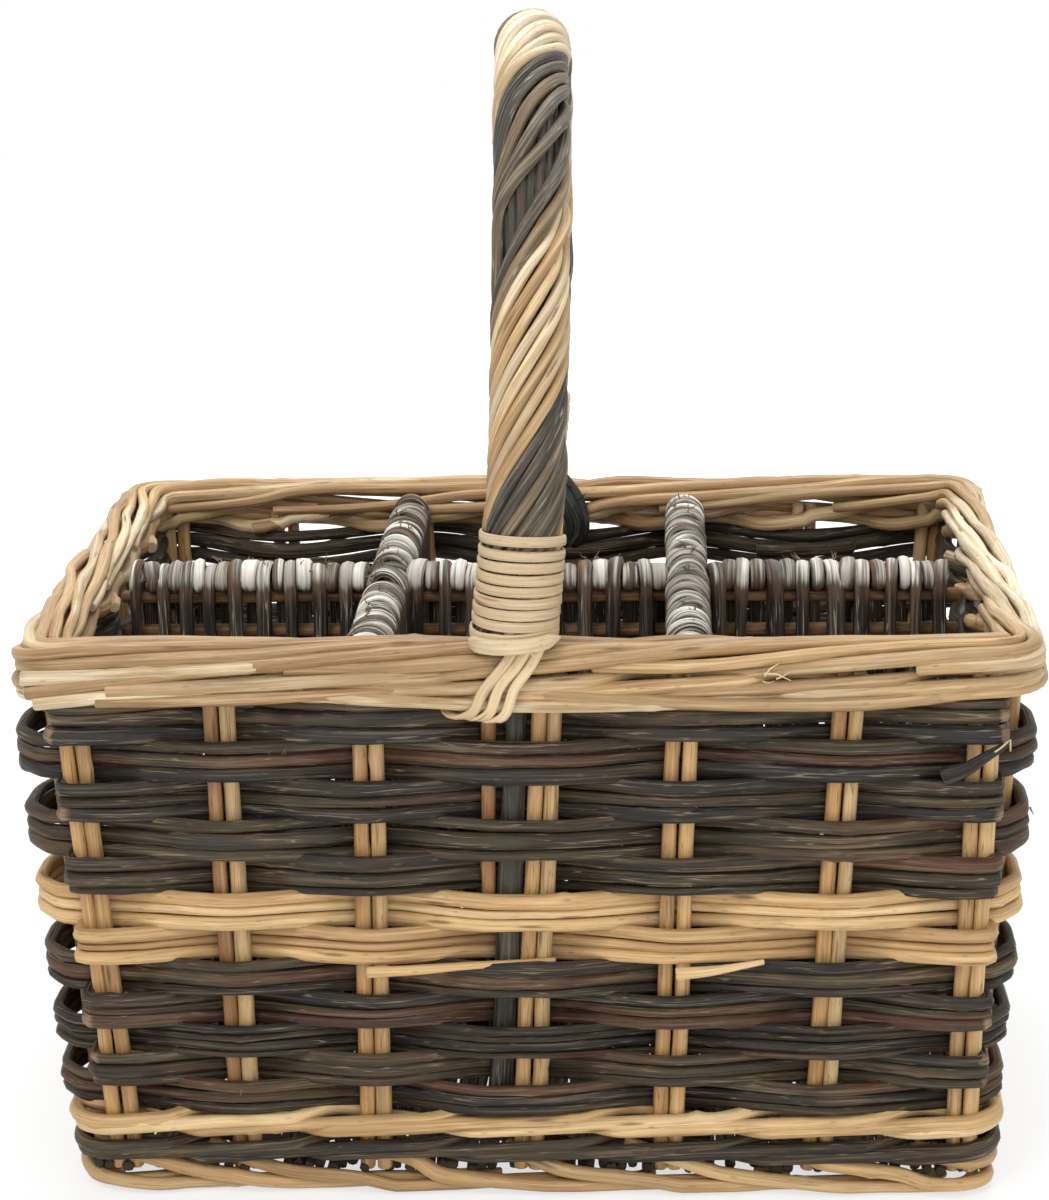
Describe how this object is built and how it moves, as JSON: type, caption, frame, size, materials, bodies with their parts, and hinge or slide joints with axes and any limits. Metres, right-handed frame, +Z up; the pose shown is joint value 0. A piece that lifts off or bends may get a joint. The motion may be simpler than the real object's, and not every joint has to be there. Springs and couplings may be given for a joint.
{
  "type": "wine bottle basket",
  "caption": "Rectangular woven willow carrier for wine bottles: banded light and dark rod walls, plaited rim, upright rod dividers and a tall roped bow handle bound with cane.",
  "frame": {"origin": "middle of the footprint, on the surface the basket stands on", "axes": "+Z up, +X along the long front wall to the viewer's right, the front wall faces -Y"},
  "size_m": [0.3692, 0.2811, 0.4222],
  "materials": {
    "stake_rod": "split-toned buff willow, satin",
    "peeled_rod": "buff peeled willow, satin",
    "bark_rod": "unpeeled brown willow, dull bark with streaks",
    "border_rod": "pale buff peeled willow, satin",
    "base_rod": "dark unpeeled willow, dull",
    "rail_rod": "orange-brown willow, dull",
    "weathered_rod": "grey weathered unpeeled willow, dull",
    "core_rod": "dark green-brown unpeeled willow, dull",
    "cane": "flat pale cane, satin"
  },
  "bodies": {
    "root": {"foot_border": "peeled_rod", "base_mat": "base_rod", "base_rail_front": "rail_rod", "base_rail_back": "rail_rod", "stake_pair_front_1": "stake_rod", "stake_pair_front_2": "stake_rod", "stake_pair_front_3": "stake_rod", "stake_pair_front_4": "stake_rod", "stake_pair_front_5": "stake_rod", "stake_pair_front_6": "stake_rod", "stake_pair_front_7": "stake_rod", "stake_pair_right_1": "stake_rod", "stake_pair_right_2": "stake_rod", "stake_pair_right_3": "stake_rod", "stake_pair_right_4": "stake_rod", "stake_pair_right_5": "stake_rod", "stake_pair_back_1": "stake_rod", "stake_pair_back_2": "stake_rod", "stake_pair_back_3": "stake_rod", "stake_pair_back_4": "stake_rod", "stake_pair_back_5": "stake_rod", "stake_pair_back_6": "stake_rod", "stake_pair_back_7": "stake_rod", "stake_pair_left_1": "stake_rod", "stake_pair_left_2": "stake_rod", "stake_pair_left_3": "stake_rod", "stake_pair_left_4": "stake_rod", "stake_pair_left_5": "stake_rod", "lower_wale_dark": "bark_rod", "lower_wale_light": "peeled_rod", "weave_row_01": "bark_rod", "weave_row_02": "bark_rod", "weave_row_03": "bark_rod", "weave_row_04": "bark_rod", "weave_row_05": "bark_rod", "weave_row_06": "peeled_rod", "weave_row_07": "peeled_rod", "weave_row_08": "bark_rod", "weave_row_09": "bark_rod", "weave_row_10": "bark_rod", "weave_row_11": "bark_rod", "weave_row_12": "bark_rod", "upper_wale": "border_rod", "top_border": "border_rod", "cross_divider_left": "weathered_rod", "cross_divider_right": "weathered_rod", "long_divider_left": "weathered_rod", "long_divider_middle": "weathered_rod", "long_divider_right": "weathered_rod", "long_rail_top": "rail_rod", "long_rail_second": "rail_rod", "cross_rail_left": "rail_rod", "cross_rail_right": "rail_rod", "handle_core": "core_rod", "handle_roping_dark": "bark_rod", "handle_roping_light": "border_rod", "binding_front": "cane", "lash_front": "cane", "binding_back": "cane", "lash_back": "cane"}
  },
  "joints": []
}
